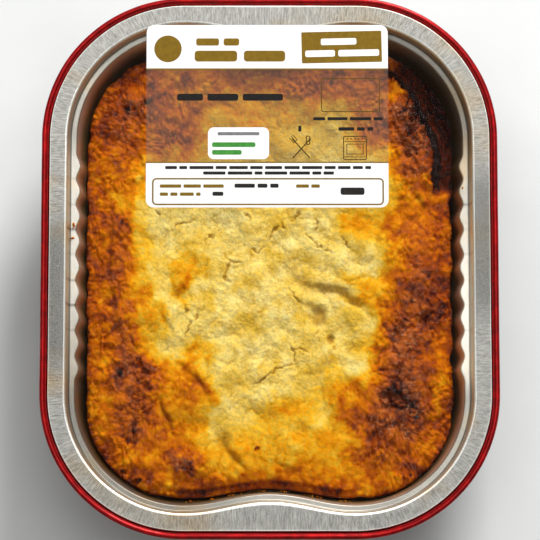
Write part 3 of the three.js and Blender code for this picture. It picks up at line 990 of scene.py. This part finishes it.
def pie_sides(loop, border, first_new):
    """Rings down the side from the top's border, and the flat bottom."""
    inward = -loop[:, :2] / np.hypot(loop[:, 0], loop[:, 1])[:, None]
    rings, faces, last = [], [], border
    low_wall = FOIL + BASE_CORNER
    for z in (21.5, 19, 16, 12, 8, low_wall, 3.4, 1.8, 0.9, PIE_LOW[2]):
        inset = (PIE_EDGE_Z - z) * WALL_DRAFT
        if z < low_wall:
            lean = (low_wall - z) / BASE_CORNER
            inset += BASE_CORNER * (1 - math.sqrt(max(1 - lean ** 2, 0)))
        rings.append(np.column_stack([loop[:, :2] + inward * inset, np.full(len(loop), z)]))
        ids = first_new + np.arange(len(loop))
        faces += np.stack([last, ids, np.roll(ids, -1), np.roll(last, -1)], 1).tolist()
        last = ids
        first_new += len(loop)
    faces.append(last[::-1].tolist())
    return np.vstack(rings), faces


def build_pie():
    outline = pie_outline(stations())
    index, border, x, y = pie_grid(outline)
    edge = outline_distance(x, y, outline)
    edge[border] = 0

    brown = browning(x, y, edge)
    relief, sunk_shade, detail = mash_relief(x, y, edge, brown)
    crust = smoothstep(0.22, 0.5, brown)
    spots = layered_noise(x, y, 6, 4, 251, 0.7)
    # Random spots on the crust, and painted light and shade from the relief: raised lumps lighter,
    # lows browner.
    brown += crust * (0.12 * spots - 0.24 * detail) - (1 - crust) * 0.08 * detail
    char_edge(x, y, brown, relief)

    top = np.stack([x, y, pie_top_z(edge, relief)], 1)
    quads = [index[:-1, :-1], index[:-1, 1:], index[1:, 1:], index[1:, :-1]]
    side, side_faces = pie_sides(top[border], border, len(top))
    faces = np.stack(quads, -1).reshape(-1, 4).tolist() + side_faces
    pie = mesh_object("baked_pie", np.vstack([top, side]), faces)

    side_brown = np.maximum(np.tile(brown[border], len(side) // len(border)), 0.62)
    side_brown += 0.1 * layered_noise(side[:, 0], side[:, 2] * 2, 6, 3, 119)
    bare = np.zeros(len(side))
    set_attribute(pie, "brown", np.concatenate([brown, side_brown]))
    for name, values in (("sunk_shade", sunk_shade), ("raised", detail), ("edge", edge)):
        set_attribute(pie, name, np.concatenate([values, bare]))
    pie.data.materials.append(mash_material())
    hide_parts("pie")


def baked_colour(m, brown, mottle, speck):
    """The colour of the browning, broken up into grains that are coarser on the crust."""
    crust = m.spread(brown, 0.15, 0.6, 0.10, 0.40)
    grains = m.spread(brown, 0.2, 0.6, 0.24, 0.60)
    shift = m.times(m.less(mottle, 0.5), crust)
    return m.ramp(m.math("ADD", brown, m.swing(speck, grains, shift)), [
        (0.00, srgb(248, 226, 142)), (0.12, srgb(248, 216, 112)), (0.24, srgb(238, 186, 46)),
        (0.36, srgb(232, 158, 12)), (0.48, srgb(216, 124, 2)), (0.60, srgb(190, 92, 0)),
        (0.72, srgb(154, 62, 0)), (0.84, srgb(110, 34, 0)), (0.94, srgb(64, 16, 2)),
        (1.00, srgb(24, 8, 4)),
    ])


def yellowed_and_shaded_colour(m, brown, patch, baked):
    """The pale crust is yellower in patches, and painted shade darkens cracks, folds and hollows:
    olive yellow in the pale mash, dark brown on the crust.
    """
    pale = m.spread(brown, 0.3, 0.12)
    yellow = m.times(pale, m.spread(patch, 0.44, 0.66, 0.0, 0.9))
    tinted = m.blend_colour(yellow, baked, srgb(224, 178, 48))
    deep = m.spread(m.value("sunk_shade"), 0.1, 0.9, 0.0, 0.85)
    return m.blend_colour(deep, tinted, m.blend_colour(pale, srgb(120, 48, 0), srgb(158, 110, 6)))


def painted_glint_share(m, brown, patch, speck):
    """Painted glints: pale specks that stand in for highlights on the brown crust, more on raised
    lumps, except where it is charred or near the wall.
    """
    area = m.spread(patch, 0.45, 0.60, 0.12)
    glint = m.times(m.spread(speck, 0.52, 0.64, 0.0, 0.75), area)
    glint = m.scaled_sum(m.spread(m.value("raised"), -0.1, 0.35), 0.12, glint)
    glint_browning = m.times(m.spread(brown, 0.50, 0.68), m.spread(brown, 0.86, 0.95, 1.0, 0.0))
    return m.times(glint, m.times(glint_browning, m.spread(m.value("edge"), 5.0, 9.0, 0.05)))


def mash_material():
    """Baked mash: pale and matt in the middle, browned, greasy and mottled at the sides, with
    painted glints, and painted shade in its hollows.
    """
    m = Material("baked_mash")
    turned = m.add("VectorRotate", {"Vector": m.place(), "Rotation": (0.5, 0.8, 0.6)},
                   rotation_type="EULER_XYZ")
    brown = m.value("brown")
    mottle = m.noise(turned, 620, 4, 0.62)
    speck = m.noise(turned, 1150, 3, 0.75)
    patch = m.noise(turned, 170, 4, 0.6)
    yellowed_and_shaded = yellowed_and_shaded_colour(m, brown, patch, baked_colour(m, brown, mottle, speck))
    dusted = m.shade(yellowed_and_shaded, m.spread(speck, 0.35, 0.65, 0.78, 1.17))
    glint = painted_glint_share(m, brown, patch, speck)
    # Painted glints in pale tan over the crust's colour.
    m["Base Color"] = m.blend_colour(glint, dusted, srgb(230, 146, 78))
    m["Roughness"] = m.swing(speck, 0.3, m.spread(brown, 0.2, 0.8, 0.7, 0.5))
    # Fat stands in small glossy spots on the brown crust.
    m["Coat Weight"] = m.times(m.spread(mottle, 0.44, 0.56), m.spread(brown, 0.58, 0.76, 0.02))
    m["Coat Roughness"] = 0.2
    m["Specular IOR Level"] = 0.01
    m["Subsurface Weight"] = 0.12
    m["Subsurface Radius"] = (1.0, 0.55, 0.15)
    m["Subsurface Scale"] = 0.0012
    fine = m.scaled_sum(mottle, 1.3, speck)
    m["Normal"] = m.bump(fine, m.spread(brown, 0.15, 0.5, 0.75, 0.9), 0.0004)
    m["Coat Normal"] = m.bump(fine, 1.0, 0.0013)
    return m.material


# ---------- crumbs ----------

def keep_inside(around, x, y, z, size):
    """The place, drawn in towards the middle if a speck of the size would touch the wall."""
    wall = ring(around, wall_inset(z) + FOIL + 1.8 * size, z, flutes=0)
    limit = np.interp(math.atan2(y, x), np.arctan2(wall[:, 1], wall[:, 0]),
                      np.hypot(wall[:, 0], wall[:, 1]), period=2 * math.pi)
    share = min(1, limit / math.hypot(x, y))
    return x * share, y * share, z, size


def crumb_spots():
    """Where the crumbs are, and their sizes."""
    around = stations()
    on_ledge = LEDGE_Z + 0.25
    spots = [(x, y, on_ledge, 0.34) for x, y in (
        (-52.6, 11.6), (-52.3, 11.1), (-52.7, 10.7), (-51.4, 11.7), (-52.8, 7.9), (51.8, 21.6),
    )]
    # On the front wall.
    for _ in range(46):
        t = rng.uniform(-1, 1)
        y = -62.6 + rng.uniform(-0.2, 0.4) - 1.1 * abs(t)
        spots.append(keep_inside(around, 23 * t, y, on_ledge - rng.uniform(2.4, 5), 0.16))
    # Two crusty bits at the pie's edge.
    for _ in range(34):
        x, y = 43.4 + rng.normal(0, 0.9), -47.8 + rng.normal(0, 1.1)
        spots.append(keep_inside(around, x, y, 25.2 + rng.normal(0, 0.5), 0.65))
    for _ in range(30):
        x, y = 35 + rng.normal(0, 1.6), -57.0 + rng.normal(0, 0.6)
        spots.append(keep_inside(around, x, y, 24.3 + rng.normal(0, 0.4), 0.6))
    return spots


def speck_points(x, y, z, size, rows, columns):
    """An uneven ball: a pole, rings of points from the top down, and a pole."""
    size *= rng.uniform(0.6, 1.3)
    stretch = rng.uniform(0.6, 1.5, 3)
    turn = rng.uniform(0, math.pi)
    points = [(x, y, z + size * stretch[2])]
    for r in range(1, rows):
        a = math.pi * r / rows
        for c in range(columns):
            b = 2 * math.pi * c / columns + turn
            k = size * rng.uniform(0.75, 1.2)
            points.append((x + k * stretch[0] * math.sin(a) * math.cos(b),
                           y + k * stretch[1] * math.sin(a) * math.sin(b),
                           z + k * stretch[2] * math.cos(a)))
    return points + [(x, y, z - size * stretch[2])]


def build_crumbs():
    """Specks of baked mash on the ledge and the wall, and two crusty bits at the pie's edge."""
    rows, columns = 5, 7
    points, faces = [], []
    for spot in crumb_spots():
        faces += tube_faces(rows - 1, columns, len(points))
        points += speck_points(*spot, rows, columns)
    crumbs = mesh_object("crumbs", points, faces)
    set_attribute(crumbs, "brown", rng.uniform(0.35, 0.72, len(points)))
    for name in ("sunk_shade", "raised", "edge"):
        set_attribute(crumbs, name, np.zeros(len(points)))
    crumbs.data.materials.append(mash_material())


# ---------- flat shapes: the film and the label ----------

def rounded_outline(x, y, width, height, radius, steps=8, turn=0.0):
    """Points anticlockwise round a rectangle with round corners, from its centre."""
    points = []
    for sign_x, sign_y, start in ((1, 1, 0), (-1, 1, 90), (-1, -1, 180), (1, -1, 270)):
        for i in range(steps + 1):
            angle = math.radians(start + 90 * i / steps)
            points.append((sign_x * (width / 2 - radius) + radius * math.cos(angle),
                           sign_y * (height / 2 - radius) + radius * math.sin(angle)))
    c, s = math.cos(turn), math.sin(turn)
    return [(x + c * u - s * v, y + s * u + c * v) for u, v in points]


class FlatShapes:
    """Thin prisms gathered into one mesh."""

    def __init__(self, low, high):
        self.low, self.high = low, high
        self.points, self.faces = [], []

    def prism(self, outline):
        first, n = len(self.points), len(outline)
        self.points += [(x, y, self.high) for x, y in outline]
        self.points += [(x, y, self.low) for x, y in outline]
        self.faces.append([first + i for i in range(n)])
        self.faces.append([first + n + i for i in reversed(range(n))])
        for i in range(n):
            j = (i + 1) % n
            self.faces.append((first + i, first + n + i, first + n + j, first + j))

    def bar(self, x, y, width, height, radius=0.0, turn=0.0):
        """A rectangle centred at x, y."""
        if radius:
            self.prism(rounded_outline(x, y, width, height, radius, turn=turn))
        else:
            c, s = math.cos(turn), math.sin(turn)
            u, v = width / 2, height / 2
            corners = ((u, v), (-u, v), (-u, -v), (u, -v))
            self.prism([(x + c * u - s * v, y + s * u + c * v) for u, v in corners])

    def loop(self, outer, inner):
        """A closed line between two outlines with as many points."""
        first, n = len(self.points), len(outer)
        for z in (self.high, self.low):
            for outline in (outer, inner):
                self.points += [(x, y, z) for x, y in outline]
        for i in range(n):
            j = (i + 1) % n
            top_outer, top_inner, low_outer, low_inner = (first + k * n for k in range(4))
            self.faces.append((top_outer + i, top_outer + j, top_inner + j, top_inner + i))
            self.faces.append((low_outer + j, low_outer + i, low_inner + i, low_inner + j))
            self.faces.append((top_outer + i, low_outer + i, low_outer + j, top_outer + j))
            self.faces.append((top_inner + j, low_inner + j, low_inner + i, top_inner + i))

    def frame(self, x, y, width, height, radius, line):
        """A rectangle's outline of a line's width."""
        inner_radius = max(radius - line, 0.05)
        self.loop(rounded_outline(x, y, width, height, radius),
                  rounded_outline(x, y, width - 2 * line, height - 2 * line, inner_radius))

    def words(self, left, right, y, height, word=4.0):
        """A line of print as plain bars, one for each word."""
        x = left
        while x < right - SHORTEST_WORD:
            width = min(word * rng.uniform(0.45, 1.5), right - x)
            self.bar(x + width / 2, y, width, height, height * 0.3)
            x += width + 0.55 * height + 0.15

    def done(self, name, material):
        """The piece. The clear film that it lies on stays clear of its shadow."""
        made = mesh_object(name, self.points, self.faces, smooth=False)
        made.data.materials.append(material)
        made.visible_shadow = False
        return made

    def printed(self, name, ink, light, dark):
        """The piece, in an ink of two close colours."""
        return self.done(name, print_material(ink, light, dark))


def print_material(name, light, dark):
    """Printed ink with a faint mottle."""
    m = Material(name)
    mottle = m.noise(m.place(), 900, 3, 0.5)
    m["Base Color"] = m.ramp(mottle, [(0.35, srgb(*dark)), (0.65, srgb(*light))])
    m["Roughness"] = 0.38
    m["Specular IOR Level"] = 0.12
    return m.material


def clear_material(name, colour, alpha, roughness):
    m = Material(name)
    m["Base Color"] = colour
    m["Alpha"] = alpha
    m["Roughness"] = roughness
    return m.material


def build_film():
    """The clear film, sealed down on the flange and very slightly slack over the pie."""
    rings = 26
    half_x, half_y = FLANGE_HALF_X - FILM_INSET, FLANGE_HALF_Y - FILM_INSET
    radius = CORNER_RADIUS - FILM_INSET
    outline = np.array(rounded_outline(0, 0, 2 * half_x, 2 * half_y, radius, 24))
    flat = np.vstack([[(0.0, 0.0)]] + [outline * r / rings for r in range(1, rings + 1)])
    from_edge = np.minimum(half_x - abs(flat[:, 0]), half_y - abs(flat[:, 1]))
    slack = 0.12 * smoothstep(5, 17, from_edge) * layered_noise(*flat.T, 22, 2, 131)
    points = [np.column_stack([flat, z + slack]) for z in (FILM_TOP_Z, FILM_LOW_Z)]
    n, count = len(outline), len(flat)
    faces = []
    for i in range(n):
        j = (i + 1) % n
        faces.append((0, 1 + i, 1 + j))
        faces.append((count, count + 1 + j, count + 1 + i))
        for r in range(rings - 1):
            a = 1 + r * n
            b = count + a
            faces.append((a + i, a + n + i, a + n + j, a + j))
            faces.append((b + j, b + n + j, b + n + i, b + i))
        a = 1 + (rings - 1) * n
        faces.append((a + i, count + a + i, count + a + j, a + j))
    film = mesh_object("clear_film", np.vstack(points), faces)
    film.data.materials.append(clear_material("clear_film", srgb(40, 40, 40), 0.022, 0.06))
    film.visible_shadow = False
    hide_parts("film")


def label_outline(x, y, width, length, low_y, high_y):
    """The label's outline between two heights, where one of them is the label's own end."""
    outline = rounded_outline(x, y, width, length, LABEL_RADIUS)
    start = len(outline) // 4
    left, right = x - width / 2, x + width / 2
    if low_y is not None:
        turned = outline[start * 3:] + outline[:start * 3]
        return [p for p in turned if p[1] > low_y] + [(left, low_y), (right, low_y)]
    turned = outline[start:] + outline[:start]
    return [p for p in turned if p[1] <= high_y] + [(right, high_y), (left, high_y)]


def build_label_sheet(x, y, width, length):
    """The clear sheet, and the white that leaves a window in it and holds a panel."""
    sheet = FlatShapes(SHEET_Z, SHEET_TOP_Z)
    sheet.prism(rounded_outline(x, y, width, length, LABEL_RADIUS))
    sheet = sheet.done("label_sheet", clear_material("label_sheet", srgb(95, 86, 74), 0.17, 0.3))
    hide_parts("label")
    white = FlatShapes(SHEET_TOP_Z, INK_Z)
    white.prism(label_outline(x, y, width, length, WINDOW_BACK, None))
    white.prism(label_outline(x, y, width, length, None, WINDOW_FRONT))
    white.bar(PANEL_X, PANEL_Y, 16.4, 8.7, 1.6)
    white.printed("label_white", "white_ink", (252, 252, 252), (247, 247, 246))


def print_gold(x, width):
    """Lines along the window, a badge, a leaning box with pale bars, a header and a frame."""
    lean = math.radians(1.2)
    gold = FlatShapes(INK_Z, TOP_INK_Z)
    gold.bar(x, WINDOW_BACK + 0.15, width, 0.36)
    gold.bar(x, WINDOW_FRONT - 0.15, width, 0.36)
    gold.bar(19.4, 59.5, 21.6, 8.6, 0.3, lean)
    gold.prism(rounded_outline(-27.4, 59, 7.4, 7.4, 3.69))
    gold.words(-19.8, -8.2, 60.9, 2.0, 7)
    gold.words(-20.2, 4.2, 57.0, 3.0, 9)
    gold.frame(-0.45, 19.9, 62.1, 7.4, 1.2, 0.42)
    gold.words(-29.4, -12.3, 21.4, 0.9)
    gold.words(-29.4, -18.5, 19.2, 0.9)
    gold.words(7.1, 14.5, 21.4, 0.9)
    pale = FlatShapes(TOP_INK_Z, TOP_INK_Z + INK)
    for bar_x, bar_y, bar_width in ((18.6, 61.0, 9.6), (13.6, 57.7, 8.0), (24.0, 57.9, 11.0)):
        pale.bar(bar_x, bar_y, bar_width, 1.8, 0.5, lean)
    pale.printed("label_pale_print", "pale_ink", (252, 252, 250), (246, 246, 244))
    gold.printed("label_gold", "gold_ink", (132, 102, 16), (120, 92, 10))


def print_window():
    """What is printed on the clear window: thin gold drawings, and dark words."""
    lines = FlatShapes(SHEET_TOP_Z, INK_Z)
    lines.frame(21.75, 46.3, 15.9, 9.3, 0.7, 0.26)
    oven_icon(lines, 22.9, 31.8)
    cutlery_icon(lines, 8.5, 31.9)
    lines.printed("label_lines", "gold_lines", (92, 70, 10), (80, 60, 6))
    black = FlatShapes(SHEET_TOP_Z, INK_Z)
    black.words(-24.9, 3.6, 45.7, 1.9, 12)
    black.words(11.7, 30.4, 39.8, 0.85)
    black.words(18.5, 27.8, 37.0, 0.95, 3)
    black.bar(8.1, 37.1, 0.8, 1.6)
    black.printed("label_black", "black_ink", (26, 22, 20), (16, 14, 12))


def print_small_words():
    """The dark words on the white."""
    small = FlatShapes(INK_Z, TOP_INK_Z)
    small.words(-28, 27.2, 26.45, 0.85, 4.5)
    small.words(-17.8, 17.3, 24.95, 0.85, 4.5)
    small.words(-9.4, 2.4, 21.5, 1.1)
    small.words(-15.3, -12.4, 19.3, 1.1)
    small.words(19, 25.4, 20.0, 2.0, 5)
    small.printed("label_small_print", "dark_ink", (40, 36, 34), (26, 24, 22))


def print_panel():
    """Two green bars and a grey one on the white panel."""
    panel = FlatShapes(INK_Z, TOP_INK_Z)
    for row, share in enumerate((0.82, 0.56)):
        bar_x, bar_y = PANEL_X - 7.1 * (1 - share), PANEL_Y - 0.4 - 2.1 * row
        panel.bar(bar_x, bar_y, 14.2 * share, 1.3, 0.5)
    panel.printed("label_panel_bars", "green_ink", (72, 150, 60), (58, 134, 50))
    grey = FlatShapes(INK_Z, TOP_INK_Z)
    grey.bar(PANEL_X, PANEL_Y + 2.6, 11.2, 0.9, 0.3)
    grey.printed("label_panel_title", "grey_ink", (128, 128, 128), (112, 112, 112))


def build_label():
    """The label: two white bands with a clear window between them. Plain bars stand for print."""
    width, length = (LABEL_HIGH - LABEL_LOW)[:2]
    x, y = (LABEL_HIGH + LABEL_LOW)[:2] / 2
    build_label_sheet(x, y, width, length)
    print_gold(x, width)
    print_window()
    print_small_words()
    print_panel()


def oven_icon(lines, x, y):
    """An oven's outline: its front, door, window and knobs."""
    lines.frame(x, y, 6.4, 6.6, 0.5, 0.28)
    lines.bar(x, y + 1.75, 6.0, 0.18)
    lines.bar(x, y - 2.45, 6.0, 0.18)
    lines.frame(x, y - 0.3, 4.6, 2.9, 0.2, 0.2)
    for k in range(5):
        lines.prism(rounded_outline(x - 2 + k, y + 2.5, 0.4, 0.4, 0.19, 3))


def cutlery_icon(lines, x, y):
    """A crossed fork and knife, as plain strokes."""
    for side in (-1, 1):
        turn = math.pi / 2 + side * math.radians(42)
        c, s = math.cos(turn), math.sin(turn)
        lines.bar(x + 0.2 * c, y + 0.2 * s - 0.3, 7.2, 0.36, turn=turn)
        if side == -1:
            lines.frame(x + 2.7 * c, y + 2.7 * s, 1.2, 2.6, 0.5, 0.3)
            continue
        for k in (-1, 0, 1):
            lines.bar(x + 3.2 * c - 0.62 * k * s, y + 3.2 * s + 0.62 * k * c, 1.9, 0.2, turn=turn)
        lines.bar(x + 2.3 * c, y + 2.3 * s, 0.22, 1.45, turn=turn)


# ---------- light and floor ----------

LIT_POINT = Vector((0, 0, 0.03))


def area_light(name, place, size_x, size_y, power):
    """A rectangular light, turned towards the pie."""
    data = bpy.data.lights.new(name, "AREA")
    data.shape = "RECTANGLE"
    data.size = size_x
    data.size_y = size_y
    data.energy = power
    made = bpy.data.objects.new(name, data)
    bpy.context.scene.collection.objects.link(made)
    made.location = place
    made.rotation_euler = (LIT_POINT - Vector(place)).to_track_quat("-Z", "Y").to_euler()
    made.visible_camera = False


def build_studio():
    """A pale floor, a key light from behind, two soft lights and a dim sky."""
    corners = [(-900, -900, 0), (900, -900, 0), (900, 900, 0), (-900, 900, 0)]
    floor = mesh_object("floor", corners, [(0, 1, 2, 3)], body=None)
    m = Material("pale_floor")
    mottle = m.noise(m.place(), 30, 3, 0.5)
    m["Base Color"] = m.ramp(mottle, [(0.3, srgb(228, 230, 229)), (0.7, srgb(235, 236, 235))])
    m["Roughness"] = 0.7
    floor.data.materials.append(m.material)

    area_light("back_key", (0.18, 0.62, 0.46), 0.24, 0.24, 6.4)
    area_light("top_softbox", (0.0, 0.16, 0.75), 0.55, 0.5, 1.75)
    area_light("front_fill", (-0.25, -0.6, 0.6), 0.5, 0.5, 0.25)

    world = bpy.data.worlds.new("studio")
    world.use_nodes = True
    bpy.context.scene.world = world
    background = world.node_tree.nodes["Background"]
    background.inputs["Color"].default_value = (1.0, 0.99, 0.96, 1)
    background.inputs["Strength"].default_value = 0.22
    bpy.context.scene.view_settings.view_transform = "Standard"


build_studio()
build_tray()
build_pie()
build_crumbs()
build_film()
build_label()
